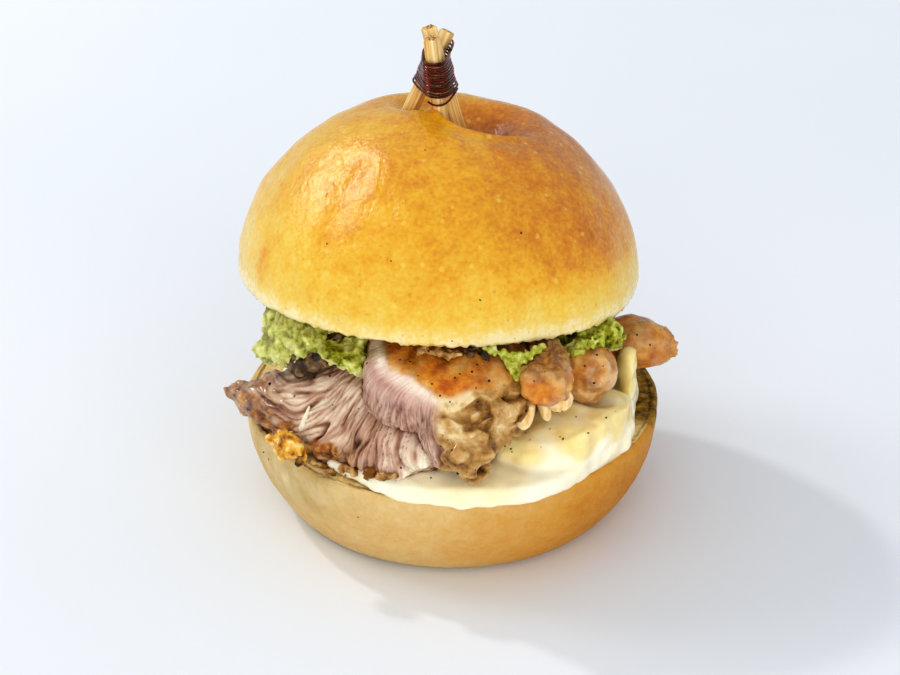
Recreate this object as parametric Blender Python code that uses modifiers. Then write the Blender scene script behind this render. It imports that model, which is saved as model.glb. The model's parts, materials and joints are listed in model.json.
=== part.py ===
"""A filled bao: a split round bun with cream, roast pork, green mash and mushrooms, and three bamboo picks
bound with wire in its top. Blender 4.5, in metres, +Z up. The origin is the middle of the flat underside,
and the open side of the filling faces -Y. Tuples of places and sizes are in millimetres."""

import math

import bmesh
import bpy
from mathutils import Euler, Matrix, Vector, noise

MM = 0.001
UP = (0, 0, 1)
RIGHT = (1, 0, 0)
GAP = 0.35 * MM  # left between pieces that touch

# The lower bun: a bowl that is part of an ellipsoid, on a flat spot, cut level at its widest.
BASE_RADIUS = 44.2 * MM
BASE_DEPTH = 33.8 * MM
BASE_HEIGHT = 22.4 * MM
BASE_FLAT_RADIUS = 29.5 * MM
BASE_RIM = 1.6 * MM
BASE_DISH = 0.8 * MM

# The upper bun: a dome that leans back and a little to the right.
CROWN_RADIUS = 42.3 * MM
CROWN_HEIGHT = 37.2 * MM
CROWN_RIM = 1.0 * MM
CROWN_DISH = 1.2 * MM
CROWN_PLACE = Vector((-3.1, 6.0, 49.4)) * MM
CROWN_TURN = Euler((math.radians(-6.5), math.radians(3.0), 0.0))
BUN_STEPS = 38

# Where the dome's skin swells or sinks, in its own frame: x, y, reach and height.
CROWN_SWELLS = (
    (7.5, -1.6, 8.2, -8.0),
    (-5.0, 3.5, 5.5, -4.0),
    (-3.5, -5.0, 4.0, 1.0),
    (-12.0, 8.0, 11.0, 1.7),
    (17.0, 4.0, 9.0, 0.9),
    (-20.0, -19.0, 6.0, -0.9),
)

# The bamboo picks, each from where it enters the dome to its top.
PICK_SIDE = 2.7 * MM
PICK_BEVEL = 0.3 * MM
PICK_SUNK = 11.0 * MM
PICK_LINES = {
    "pick_left": ((-9.5, 10.4, 82.4), (-0.9, 14.4, 100.2)),
    "pick_right": ((1.4, 8.6, 80.2), (-4.8, 9.8, 102.9)),
    "pick_middle": ((-2.3, 6.0, 84.1), (-4.2, 5.0, 102.4)),
}

# The wire round the picks: a close helix on their outline, with a hooked end.
WIRE_DIAMETER = 0.45 * MM
WIRE_TURNS = 12
WIRE_TURN_POINTS = 12
WIRE_LOW = 89.9 * MM
WIRE_HIGH = 96.8 * MM
WIRE_STANDOFF = 2.35 * MM
WIRE_HOOK = ((-0.6, 3.5, 88.9), (-2.2, 3.2, 88.2), (-4.0, 3.2, 88.2), (-5.0, 3.5, 89.1))

# Colour, roughness and metallic value of each piece.
FINISHES = {
    "bun_base": ((0.80, 0.50, 0.16), 0.5, 0.0),
    "bun_crown": ((0.80, 0.44, 0.08), 0.35, 0.0),
    "pork_centre": ((0.55, 0.36, 0.22), 0.45, 0.0),
    "pork_left": ((0.55, 0.40, 0.35), 0.45, 0.0),
    "pork_right": ((0.48, 0.26, 0.10), 0.45, 0.0),
    "pork_nugget": ((0.42, 0.24, 0.09), 0.45, 0.0),
    "pork_knuckle": ((0.50, 0.28, 0.12), 0.45, 0.0),
    "pork_back": ((0.50, 0.33, 0.22), 0.5, 0.0),
    "cream": ((0.93, 0.84, 0.56), 0.3, 0.0),
    "green_mash": ((0.33, 0.45, 0.06), 0.6, 0.0),
    "mushroom_stem": ((0.86, 0.76, 0.55), 0.4, 0.0),
    "mushroom_small": ((0.84, 0.72, 0.48), 0.4, 0.0),
    "mushroom_cap": ((0.80, 0.66, 0.42), 0.4, 0.0),
    "cooked_onion": ((0.22, 0.16, 0.08), 0.4, 0.0),
    "crackling": ((0.80, 0.55, 0.18), 0.4, 0.0),
    "pick_left": ((0.80, 0.62, 0.32), 0.55, 0.0),
    "pick_right": ((0.80, 0.62, 0.32), 0.55, 0.0),
    "pick_middle": ((0.76, 0.56, 0.26), 0.55, 0.0),
    "wire_binding": ((0.20, 0.06, 0.04), 0.3, 0.6),
}


def clear_scene():
    for item in list(bpy.data.objects):
        bpy.data.objects.remove(item, do_unlink=True)


def collection(name):
    if name not in bpy.data.collections:
        bpy.context.scene.collection.children.link(bpy.data.collections.new(name))
    return bpy.data.collections[name]


def material(name):
    colour, roughness, metallic = FINISHES[name]
    made = bpy.data.materials.new(name)
    made.use_nodes = True
    shader = made.node_tree.nodes["Principled BSDF"]
    shader.inputs["Base Color"].default_value = (*colour, 1.0)
    shader.inputs["Roughness"].default_value = roughness
    shader.inputs["Metallic"].default_value = metallic
    return made


def new_part(name, mesh):
    """One piece of the object, with its own material."""
    made = bpy.data.objects.new(name, mesh)
    collection("filled bun").objects.link(made)
    mesh.materials.clear()
    mesh.materials.append(material(name))
    mesh.shade_smooth()
    return made


def new_cutter(name, mesh):
    """A helper that shapes the pieces and isn't one of them."""
    made = bpy.data.objects.new(name, mesh)
    collection("cutters").objects.link(made)
    made.hide_render = True
    made.display_type = "WIRE"
    return made


def evaluated_mesh(item):
    bpy.context.view_layer.update()
    graph = bpy.context.evaluated_depsgraph_get()
    return bpy.data.meshes.new_from_object(item.evaluated_get(graph))


def turned(profile, steps):
    """The mesh of a profile of (radius, height) pairs turned about Z."""
    line = bpy.data.meshes.new("profile")
    points = [(radius, 0.0, height) for radius, height in profile]
    line.from_pydata(points, [(i, i + 1) for i in range(len(points) - 1)], [])
    item = new_cutter("profile", line)
    screw = item.modifiers.new("Turn", "SCREW")
    screw.steps = screw.render_steps = steps
    screw.use_merge_vertices = True
    screw.merge_threshold = 0.00001
    mesh = evaluated_mesh(item)
    bpy.data.objects.remove(item)
    return mesh


def uneven(turn, parts):
    """How far from round a bun is at an angle, from a few waves: count, share and phase."""
    return sum(share * math.sin(count * turn + phase) for count, share, phase in parts)


def crown_mesh():
    dome_points = 15
    dome = [math.radians(90) * (1 - (i / dome_points) ** 1.3) for i in range(dome_points + 1)]
    profile = [(CROWN_RADIUS * math.cos(a), CROWN_HEIGHT * math.sin(a)) for a in dome]
    profile[0] = (0.0, CROWN_HEIGHT)
    profile.append((CROWN_RADIUS - 0.3 * CROWN_RIM, -0.7 * CROWN_RIM))
    for share in (0.97, 0.75, 0.4, 0.0):
        profile.append((CROWN_RADIUS * share, -CROWN_RIM + CROWN_DISH * (1 - share**2)))
    mesh = turned(profile, BUN_STEPS)
    for vertex in mesh.vertices:
        co = vertex.co
        wave = uneven(math.atan2(co.y, co.x), ((2, 0.006, 0.6), (3, 0.004, 2.0), (7, 0.003, 0.0)))
        rise = 0.0
        for x, y, reach, height in CROWN_SWELLS:
            away = math.hypot(co.x - x * MM, co.y - y * MM) / (reach * MM)
            rise += height * MM * math.exp(-(away**2))
        co.z += rise * min(1.0, max(0.0, 1.6 * co.z / CROWN_HEIGHT))
        co.x *= 1 + wave
        co.y *= 1 + wave
    return mesh


def base_mesh():
    profile = [(0.0, BASE_HEIGHT - BASE_DISH)]
    for share in (0.4, 0.75, 0.96):
        profile.append((BASE_RADIUS * share, BASE_HEIGHT - BASE_DISH * (1 - share**2)))
    profile.append((BASE_RADIUS - 0.3 * BASE_RIM, BASE_HEIGHT - 0.5 * BASE_RIM))
    side_points = 8
    lowest = math.asin((BASE_HEIGHT - BASE_RIM - 1.2 * MM) / BASE_DEPTH)
    for i in range(side_points + 1):
        turn = lowest * i / side_points
        height = BASE_HEIGHT - BASE_RIM - BASE_DEPTH * math.sin(turn)
        profile.append((BASE_RADIUS * math.cos(turn), height))
    profile.append((0.5 * (profile[-1][0] + BASE_FLAT_RADIUS), 0.3 * MM))
    profile += [(BASE_FLAT_RADIUS, 0.0), (0.0, 0.0)]
    mesh = turned(profile, BUN_STEPS)
    for vertex in mesh.vertices:
        co = vertex.co
        wave = uneven(math.atan2(co.y, co.x), ((2, 0.006, 2.4), (3, 0.005, 0.5), (5, 0.003, 0.0)))
        co.x *= 1 + wave * min(1.0, co.z / (4 * MM))
        co.y *= 1 + wave * min(1.0, co.z / (4 * MM))
    return mesh


def radius_at(outline, turn):
    """The radius of an outline of (degrees, radius) pairs at an angle, smooth from one pair to the next."""
    degrees = math.degrees(turn) % 360
    count = len(outline)
    for i in range(count):
        start, end = outline[i], outline[(i + 1) % count]
        span = (end[0] - start[0]) % 360
        along = ((degrees - start[0]) % 360) / span
        if along <= 1:
            ease = along * along * (3 - 2 * along)
            return start[1] + (end[1] - start[1]) * ease
    return outline[0][1]


def crags(size, height, seed):
    """Uneven relief with features of one size."""
    shift = Vector((seed * 7.3, seed * 3.1, seed * 5.7))
    return lambda co: height * noise.fractal(co / size + shift, 0.8, 2.0, 2)


def fibres(pitch, height, slant):
    """Ridges of meat fibre across a face, fanned out and broken by noise."""

    def relief(co):
        fan = math.radians(slant) - 0.018 * co.x
        across = -co.x * math.sin(fan) + co.y * math.cos(fan)
        along = co.x * math.cos(fan) + co.y * math.sin(fan)
        return height * noise.noise(Vector((across / pitch, along / (6 * pitch), 0.3 * co.z / pitch)))

    return relief


def pad_mesh(place, outline, half_height, facing=UP, right=RIGHT, square=3.0, relief=(), size=(36, 14)):
    """A rounded slab: an outline in its own plane, half_height thick each way, its face towards facing."""
    shape = bmesh.new()
    bmesh.ops.create_uvsphere(shape, u_segments=size[0], v_segments=size[1], radius=1.0)
    for vertex in shape.verts:
        unit = vertex.co.copy()
        flat = math.hypot(unit.x, unit.y)
        reach = (flat**square + abs(unit.z) ** square) ** (-1 / square)
        turn = math.atan2(unit.y, unit.x)
        radius = radius_at(outline, turn)
        co = Vector((unit.x * reach * radius, unit.y * reach * radius, unit.z * reach * half_height))
        out = Vector((unit.x / radius, unit.y / radius, unit.z / half_height)).normalized()
        for rise in relief:
            co += out * rise(co)
        vertex.co = co * MM
    normal = Vector(facing).normalized()
    across = (Vector(right) - normal * normal.dot(Vector(right))).normalized()
    up = normal.cross(across)
    turned_by = Matrix((across, up, normal)).transposed().to_4x4()
    shape.transform(Matrix.Translation(Vector(place) * MM) @ turned_by)
    mesh = bpy.data.meshes.new("pad")
    shape.to_mesh(mesh)
    shape.free()
    return mesh


def oval(x, y):
    """An oval outline."""
    turns = [(angle, math.radians(angle)) for angle in range(0, 360, 30)]
    return [(angle, x * y / math.hypot(y * math.cos(turn), x * math.sin(turn))) for angle, turn in turns]


def keep_largest(mesh):
    """Drops the loose scraps that a cut leaves."""
    shape = bmesh.new()
    shape.from_mesh(mesh)
    left = set(shape.verts)
    bodies = []
    while left:
        body = {left.pop()}
        edge = list(body)
        while edge:
            for link in edge.pop().link_edges:
                for vertex in link.verts:
                    if vertex in left:
                        left.discard(vertex)
                        body.add(vertex)
                        edge.append(vertex)
        bodies.append(body)
    bodies.sort(key=len)
    for body in bodies[:-1]:
        bmesh.ops.delete(shape, geom=list(body), context="VERTS")
    shape.to_mesh(mesh)
    shape.free()


def grown(item, by):
    """A copy of a solid, swollen all over."""
    mesh = evaluated_mesh(item)
    mesh.transform(item.matrix_world)
    for vertex, normal in zip(mesh.vertices, [n.vector.copy() for n in mesh.vertex_normals]):
        vertex.co += normal * by
    return new_cutter("grown_" + item.name, mesh)


def apply_modifiers(item):
    finish = item.data.materials[0]
    mesh = evaluated_mesh(item)
    item.modifiers.clear()
    keep_largest(mesh)
    item.data = mesh
    mesh.materials.clear()
    mesh.materials.append(finish)
    return item


def carve(item, *tools, keep=1.0, solver="EXACT"):
    """Cuts an object back so that it clears each tool by the gap, then keeps a share of its triangles."""
    for tool in tools:
        cutter = grown(tool, GAP)
        cut = item.modifiers.new("Clear " + tool.name, "BOOLEAN")
        cut.operation = "DIFFERENCE"
        cut.solver = solver
        cut.object = cutter
        apply_modifiers(item)
        bpy.data.objects.remove(cutter)
    thin = item.modifiers.new("Fewer", "DECIMATE")
    thin.ratio = keep
    return apply_modifiers(item)


def joined(name, meshes):
    """One piece from several closed meshes that run into each other."""
    first = new_part(name, meshes[0])
    for mesh in meshes[1:]:
        other = new_cutter("joined_to_" + name, mesh)
        join = first.modifiers.new("Join", "BOOLEAN")
        join.operation = "UNION"
        join.object = other
        apply_modifiers(first)
        bpy.data.objects.remove(other)
    return first


def pick_ends(name):
    """A pick's sunk end and its top."""
    foot, top = (Vector(point) * MM for point in PICK_LINES[name])
    return foot - (top - foot).normalized() * PICK_SUNK, top


def pick(name, swell=0.0):
    """A square stick, or with swell the hole that it stands in."""
    low, top = pick_ends(name)
    low -= (top - low).normalized() * swell
    side = PICK_SIDE + 2 * swell
    shape = bmesh.new()
    bmesh.ops.create_cube(shape, size=1.0)
    bmesh.ops.scale(shape, vec=(side, side, (top - low).length), verts=shape.verts)
    mesh = bpy.data.meshes.new(name)
    shape.to_mesh(mesh)
    shape.free()
    item = new_part(name, mesh) if swell == 0 else new_cutter(name + "_hole", mesh)
    aim = (top - low).to_track_quat("Z", "X").to_matrix().to_4x4()
    item.matrix_world = Matrix.Translation((low + top) / 2) @ aim @ Matrix.Rotation(math.radians(38), 4, "Z")
    bevel = item.modifiers.new("Edges", "BEVEL")
    bevel.width = PICK_BEVEL
    bevel.segments = 1
    return item


def picks_at(height):
    """Where the middles of the picks are at a height."""
    found = []
    for foot, top in PICK_LINES.values():
        share = (height / MM - foot[2]) / (top[2] - foot[2])
        found.append(Vector(foot).lerp(Vector(top), share) * MM)
    return found


def wire_point(turns):
    """A point on the helix, a number of turns from its top."""
    height = WIRE_HIGH - (WIRE_HIGH - WIRE_LOW) * turns / WIRE_TURNS
    middles = picks_at(height)
    centre = sum(middles, Vector()) / len(middles)
    turn = 2 * math.pi * turns
    away = Vector((math.cos(turn), math.sin(turn), 0.0))
    reach = max((middle - centre).dot(away) for middle in middles) + WIRE_STANDOFF
    return centre + away * reach


def wire():
    """The binding wire, as a tube along the helix and its hooked end."""
    steps = WIRE_TURNS * WIRE_TURN_POINTS
    points = [wire_point(i / WIRE_TURN_POINTS) for i in range(steps + 1)]
    points += [Vector(point) * MM for point in WIRE_HOOK]
    path = bpy.data.curves.new("wire_binding", "CURVE")
    path.dimensions = "3D"
    path.bevel_depth = WIRE_DIAMETER / 2
    path.bevel_resolution = 0
    path.use_fill_caps = True
    spline = path.splines.new("POLY")
    spline.points.add(len(points) - 1)
    for target, point in zip(spline.points, points):
        target.co = (*point, 1.0)
    tube = bpy.data.objects.new("tube", path)
    collection("cutters").objects.link(tube)
    mesh = evaluated_mesh(tube)
    bpy.data.objects.remove(tube)
    shape = bmesh.new()
    shape.from_mesh(mesh)
    bmesh.ops.remove_doubles(shape, verts=shape.verts, dist=0.001 * MM)
    shape.to_mesh(mesh)
    shape.free()
    return new_part("wire_binding", mesh)


def build_buns():
    base = new_part("bun_base", base_mesh())
    crown = new_part("bun_crown", crown_mesh())
    crown.matrix_world = Matrix.Translation(CROWN_PLACE) @ CROWN_TURN.to_matrix().to_4x4()
    return base, crown


def build_picks(crown):
    """The picks and their wire, with a hole in the dome for each pick."""
    for name in PICK_LINES:
        hole = pick(name, swell=GAP)
        cut = crown.modifiers.new("Hole", "BOOLEAN")
        cut.operation = "DIFFERENCE"
        cut.object = hole
        apply_modifiers(crown)
        bpy.data.objects.remove(hole)
        pick(name)
    wire()


def build_pork(base, crown):
    """The roast meat, from the front slices to the pieces at the right and the back."""
    slab = pad_mesh(
        (2.0, -24.0, 43.8),
        (
            (0, 14), (45, 18), (90, 21), (135, 22), (180, 19), (212, 23),
            (228, 22), (270, 21), (300, 21.5), (330, 17),
        ),
        8.6,
        facing=(0.0, -0.12, 0.99),
        square=3.2,
        relief=(crags(9, 1.1, 1),),
        size=(36, 12),
    )
    fringe = pad_mesh(
        (2.0, -39.5, 38.5), oval(9.5, 8.5), 7.5, square=2.4, relief=(crags(6, 1.6, 2),), size=(22, 12)
    )
    tongue = pad_mesh(
        (3.2, -45.6, 34.6), oval(4.6, 3.6), 4.4, square=2.4, relief=(crags(4, 0.6, 3),), size=(14, 8)
    )
    centre = joined("pork_centre", [slab, fringe, tongue])
    carve(centre, base, crown, keep=0.75)

    left_outline = (
        (0, 25), (25, 20.5), (50, 16.5), (75, 14.5), (100, 12.8), (125, 12.2), (150, 14.5), (175, 21),
        (191, 29.5), (203, 20), (225, 14.5), (250, 11), (270, 9.6), (292, 10.5), (315, 13.5), (338, 20),
    )
    left = new_part(
        "pork_left",
        pad_mesh(
            (-18.5, -22.7, 29.2),
            left_outline,
            10.2,
            facing=(-0.5, -0.67, 0.55),
            right=(0.8, -0.6, 0.0),
            square=4.5,
            relief=(fibres(3.2, 1.3, 215), crags(5, 0.5, 4)),
            size=(44, 16),
        ),
    )
    carve(left, base, crown, centre, keep=0.7)

    right = new_part(
        "pork_right",
        pad_mesh(
            (20.5, -31.0, 45.0),
            ((0, 8), (60, 9), (120, 10), (180, 9), (240, 12), (300, 11)),
            5.6,
            square=2.6,
            relief=(crags(4, 1.2, 5),),
            size=(20, 10),
        ),
    )
    carve(right, crown, centre)

    nugget = new_part(
        "pork_nugget",
        pad_mesh(
            (30.5, -21.5, 38.6), oval(6.4, 6.8), 6.6, square=2.2, relief=(crags(6, 0.8, 6),), size=(22, 12)
        ),
    )
    carve(nugget, base, crown, centre, right, keep=0.7)

    knuckle = new_part(
        "pork_knuckle",
        pad_mesh(
            (37.0, 0.5, 33.8),
            ((0, 11.5), (35, 8.6), (70, 6.4), (110, 6.2), (180, 12), (250, 6.4), (290, 6.4), (325, 8.8)),
            5.8,
            facing=(-0.1, -0.2, 0.97),
            right=(1.0, -0.15, 0.1),
            square=2.6,
            relief=(crags(4, 0.8, 7),),
            size=(24, 12),
        ),
    )
    carve(knuckle, base, crown, centre, nugget, keep=0.75)

    back = new_part(
        "pork_back",
        pad_mesh(
            (-3.0, 20.0, 35.5),
            ((0, 30), (45, 26), (90, 22), (135, 27), (180, 35), (215, 26), (270, 16), (325, 24)),
            8.2,
            facing=(0.0, 0.1, 0.99),
            square=3.2,
            relief=(crags(8, 1.8, 8),),
            size=(38, 12),
        ),
    )
    carve(back, base, crown, centre, left, knuckle, keep=0.55)
    return centre, left, right, nugget, knuckle, back


def build_small_pieces(base, meats):
    """The mushrooms, the cooked onion and the piece of crackling."""
    spots = {
        "mushroom_stem": ((15.0, -37.5, 38.6), (2.0, 2.0), 4.4, (0.1, -0.1, 1.0)),
        "mushroom_small": ((20.6, -35.0, 36.2), (1.3, 1.3), 3.6, (-0.3, 0.0, 1.0)),
        "mushroom_cap": ((25.6, -33.0, 38.2), (3.0, 2.8), 2.6, (-0.3, -0.4, 1.0)),
    }
    made = []
    for name, (place, reach, half_height, facing) in spots.items():
        mesh = pad_mesh(place, oval(*reach), half_height, facing=facing, square=2.3, size=(12, 8))
        made.append(carve(new_part(name, mesh), *meats, keep=0.6, solver="MANIFOLD"))
    onion_mesh = pad_mesh(
        (-27.5, -19.5, 43.2), oval(8.0, 4.5), 3.2, facing=(-0.4, -0.4, 0.8),
        relief=(crags(4, 0.8, 9),), size=(18, 8),
    )
    made.append(carve(new_part("cooked_onion", onion_mesh), *meats, keep=0.6, solver="MANIFOLD"))
    crackling_mesh = pad_mesh(
        (-33.6, -32.2, 28.4), oval(4.6, 2.6), 2.2, facing=(-0.5, -0.7, 0.5), right=(0.8, -0.5, -0.2),
        relief=(crags(2.5, 0.6, 10),), size=(16, 8),
    )
    made.append(carve(new_part("crackling", crackling_mesh), base, *meats, keep=0.6, solver="MANIFOLD"))
    return made


def build_soft_fillings(base, crown, solids):
    """The mash under the dome and the cream on the lower bun, each fitted round what lies in it."""
    layer = pad_mesh(
        (-2.5, 1.0, 47.2),
        ((0, 36), (45, 36), (90, 37), (135, 38), (165, 39), (195, 40), (225, 36), (270, 34), (315, 36)),
        3.6,
        facing=(0.05, -0.114, 0.99),
        square=3.0,
        relief=(crags(6.0, 1.2, 11),),
        size=(40, 8),
    )
    heap = pad_mesh(
        (-32.5, -11.5, 45.6),
        ((0, 13), (60, 10), (120, 10), (180, 10.5), (215, 12), (250, 11.5), (300, 12)),
        7.2,
        square=2.4,
        relief=(crags(4.0, 1.5, 12),),
        size=(26, 12),
    )
    edge = pad_mesh(
        (29.5, -17.0, 45.2), oval(5.6, 5.0), 4.6, square=2.4, relief=(crags(3.5, 1.0, 13),), size=(16, 8)
    )
    smear = pad_mesh(
        (13.5, -36.5, 50.2), oval(6.5, 5.0), 2.6, square=2.4, relief=(crags(3.5, 0.8, 14),), size=(16, 8)
    )
    mash = joined("green_mash", [layer, heap, edge, smear])
    carve(mash, crown, *solids, solver="MANIFOLD")

    bed = pad_mesh(
        (1.5, -1.5, 24.0),
        (
            (0, 42.5), (45, 40), (90, 40), (135, 40), (180, 38.5), (212, 37), (235, 41), (252, 44),
            (275, 45.2), (300, 45.6), (325, 46), (345, 44),
        ),
        4.6,
        square=3.4,
        relief=(crags(9, 0.9, 15),),
        size=(44, 8),
    )
    mound = pad_mesh(
        (23.0, -25.5, 27.6), oval(18.0, 11.5), 6.4, right=(0.85, 0.55, 0.0), square=2.4,
        relief=(crags(7, 1.0, 16),),
        size=(22, 10),
    )
    lick = pad_mesh(
        (37.8, -9.5, 30.8), oval(2.6, 3.0), 7.6, facing=(-0.12, -0.05, 1.0), square=2.4,
        relief=(crags(4, 0.5, 17),),
        size=(12, 8),
    )
    cream = joined("cream", [bed, mound, lick])
    carve(cream, base, mash, *solids, solver="MANIFOLD")


def main():
    clear_scene()
    base, crown = build_buns()
    build_picks(crown)
    meats = build_pork(base, crown)
    small = build_small_pieces(base, meats)
    build_soft_fillings(base, crown, [*meats, *small])


main()
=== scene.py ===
"""A filled bao bun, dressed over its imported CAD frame: egg-washed bread, cut roast pork, cream, coarse
green mash, mushrooms, bamboo picks and an enamelled wire. Sizes are in millimetres."""

import json
import math

import bmesh
import bpy
import numpy as np
from mathutils import Euler, Matrix, Vector

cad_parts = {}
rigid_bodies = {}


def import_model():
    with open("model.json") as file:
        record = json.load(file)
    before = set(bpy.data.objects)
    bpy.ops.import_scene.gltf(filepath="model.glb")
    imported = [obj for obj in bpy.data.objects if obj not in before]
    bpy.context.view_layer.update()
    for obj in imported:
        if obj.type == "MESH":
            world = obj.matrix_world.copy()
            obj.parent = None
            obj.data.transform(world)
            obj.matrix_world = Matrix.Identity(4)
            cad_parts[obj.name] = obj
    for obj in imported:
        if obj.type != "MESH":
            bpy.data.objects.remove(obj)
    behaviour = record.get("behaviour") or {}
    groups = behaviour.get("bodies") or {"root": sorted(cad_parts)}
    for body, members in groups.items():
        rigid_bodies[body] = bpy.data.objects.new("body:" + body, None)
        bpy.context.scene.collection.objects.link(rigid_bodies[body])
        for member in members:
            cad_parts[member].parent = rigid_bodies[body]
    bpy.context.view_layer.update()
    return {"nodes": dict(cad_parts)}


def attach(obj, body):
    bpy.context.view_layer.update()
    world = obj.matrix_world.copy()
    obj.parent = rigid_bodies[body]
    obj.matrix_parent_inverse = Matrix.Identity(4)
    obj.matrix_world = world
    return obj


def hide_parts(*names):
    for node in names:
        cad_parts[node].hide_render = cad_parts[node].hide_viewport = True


MM = 0.001

# The camera, as a pinhole.
PICTURE_SIZE = (900, 675)
CAMERA_TARGET = (-0.4, 0.0, 36.0)
CAMERA_DISTANCE = 560.0
CAMERA_ELEVATION = 28.5
CAMERA_LENS = 105.06
CAMERA_SENSOR = 36.0
CAMERA_FAR = 20000.0

# Each lamp: its shape, width and height, direction and distance from the bun, watts, colour, and whether it
# shows in the bun's shine.
LAMPS = {
    "key": ("DISK", 95.0, 95.0, (-0.583, 0.409, 0.702), 1320.0, 2.5, (1.0, 0.98, 0.95), True),
    "window": ("ELLIPSE", 420.0, 600.0, (-0.75, 0.2, 0.63), 1300.0, 1.9, (1.0, 0.99, 0.97), True),
    "fill": ("RECTANGLE", 2400.0, 1300.0, (0.12, -0.96, 0.25), 1700.0, 13.8, (1.0, 0.98, 0.96), False),
}
LAMP_AIM = Vector((0.0, 0.0, 40.0))
WORLD_COLOUR = "#f6f8fb"
WORLD_STRENGTH = 0.52
BOARD_SIZE = 6000.0
VIEW_LOOK = "High Contrast"

# How many steps the turned skins of the buns have around them.
SKIN_STEPS = 400

# The dome, in its own frame: the cut face is at height 0 and the axis passes through its middle.
CROWN_RADIUS = 42.3
CROWN_HEIGHT = 37.2
CROWN_PLACE = (-3.1, 6.0, 49.4)
CROWN_TURN = (-6.5, 3.0, 0.0)
CROWN_RIM = 1.0
CROWN_DISH = 1.2
CROWN_SWELLS = (
    (7.5, -1.6, 8.2, -8.0),
    (-5.0, 3.5, 5.5, -4.0),
    (-3.5, -5.0, 4.0, 1.0),
    (-12.0, 8.0, 11.0, 0.2),
    (17.0, 4.0, 9.0, 0.9),
    (-20.0, -19.0, 6.0, -0.9),
)
CROWN_GROOVE = ((-16.7, -20.4, 29.1), (-22.2, -30.0, 17.4))

# The lower bun: part of an ellipsoid on a flat spot, cut level.
BASE_RADIUS = 44.2
BASE_DEPTH = 33.8
BASE_HEIGHT = 22.4
BASE_FLAT_RADIUS = 29.5
BASE_FOOT = 1.2
BASE_RIM = 1.6
BASE_DISH = 0.8

# The cut slice of pork at the left: a face plane, and the point in it that the fibres fan out from.
SLICE_PLACE = (-18.5, -22.7, 29.2)
SLICE_FACING = (-0.5, -0.67, 0.55)
SLICE_RIGHT = (0.8, -0.6, 0.0)
FIBRE_CENTRE = (24.0, 21.0)
FIBRES_PER_RADIAN = 30.0
FIBRE_STRETCH = 6.0

MUSHROOMS_MOVED = {
    "mushroom_stem": (-0.5, -4.2, 3.4),
    "mushroom_small": (-2.2, -0.6, 3.4),
    "mushroom_cap": (-4.2, -2.6, 3.2),
}
PICK_LINES = {
    "pick_left": ((-9.5, 10.4, 82.4), (-0.9, 14.4, 100.2)),
    "pick_right": ((1.4, 8.6, 80.2), (-4.8, 9.8, 102.9)),
    "pick_middle": ((-2.3, 6.0, 84.1), (-4.2, 5.0, 102.4)),
}
WIRE_DIAMETER = 0.45
WIRE_TURNS = 14
WIRE_STEPS = 24
WIRE_LOW = 89.9
WIRE_HIGH = 97.9
WIRE_STANDOFF = 2.35
WIRE_HOOK = ((-0.6, 3.5, 88.9), (-2.2, 3.2, 88.2), (-4.0, 3.2, 88.2), (-5.0, 3.5, 89.1))


# Numbers and meshes


def noise(points, size, seed):
    """Smooth random values, about -1 to 1, with features of one size."""
    place = points / size + np.array([seed * 7.31, seed * 3.17, seed * 5.73])
    cell = np.floor(place).astype(np.int64)
    inside = place - cell
    ease = inside**3 * (inside * (inside * 6 - 15) + 10)
    total = np.zeros(len(points))
    for dx in (0, 1):
        for dy in (0, 1):
            for dz in (0, 1):
                corner = cell + (dx, dy, dz)
                mixed = corner[:, 0] * 73856093 ^ corner[:, 1] * 19349663 ^ corner[:, 2] * 83492791
                mixed = (mixed ^ (mixed >> 13)) * 1274126177 & 0xFFFFFFFF
                slope = np.stack([(mixed >> shift & 1023) / 511.5 - 1 for shift in (0, 10, 20)], axis=1)
                reach = ((inside - (dx, dy, dz)) * slope).sum(axis=1)
                share = np.prod(np.where((dx, dy, dz), ease, 1 - ease), axis=1)
                total += reach * share
    return total * 1.7


def rough_noise(points, size, seed, layers=3):
    """Noise with finer and finer layers on it."""
    return sum(noise(points, size / 2**i, seed + i) / 2**i for i in range(layers)) / 1.5


def ramp(values, low, high):
    """0 below low, 1 above high, smooth between."""
    along = np.clip((values - low) / (high - low), 0, 1)
    return along * along * (3 - 2 * along)


def spot(points, centre, reach):
    """1 at a place, falling to 0 around it."""
    away = np.linalg.norm((points - np.array(centre)) / np.array(reach), axis=1)
    return np.exp(-(away**2))


def values_of(items, name):
    flat = np.empty(len(items) * 3)
    items.foreach_get(name, flat)
    return flat.reshape(-1, 3)


def points_of(mesh):
    """A mesh's points, in millimetres."""
    return values_of(mesh.vertices, "co") / MM


def normals_of(mesh):
    return values_of(mesh.vertex_normals, "vector")


def set_points(mesh, points):
    mesh.vertices.foreach_set("co", (points * MM).ravel())
    mesh.update()


def mark(mesh, name, values):
    """Keeps a number at each point, for a material to read."""
    layer = mesh.attributes.new(name, "FLOAT", "POINT")
    layer.data.foreach_set("value", values.astype(np.float32))


def mark_share(mesh, name, values):
    mark(mesh, name, np.clip(values, 0, 1))


def placed(name, data):
    """A new object, in the scene."""
    item = bpy.data.objects.new(name, data)
    bpy.context.scene.collection.objects.link(item)
    return item


def new_piece(name, mesh, finish, slot, *nodes):
    """A dressed piece that rides on the part and stands for its CAD nodes."""
    piece = placed(name, mesh)
    mesh.materials.clear()
    mesh.materials.append(finish)
    mesh.shade_smooth()
    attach(piece, "root")
    if nodes:
        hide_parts(*nodes)


def evaluated(item):
    bpy.context.view_layer.update()
    mesh = bpy.data.meshes.new_from_object(item.evaluated_get(bpy.context.evaluated_depsgraph_get()))
    bpy.data.objects.remove(item)
    return mesh


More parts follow.
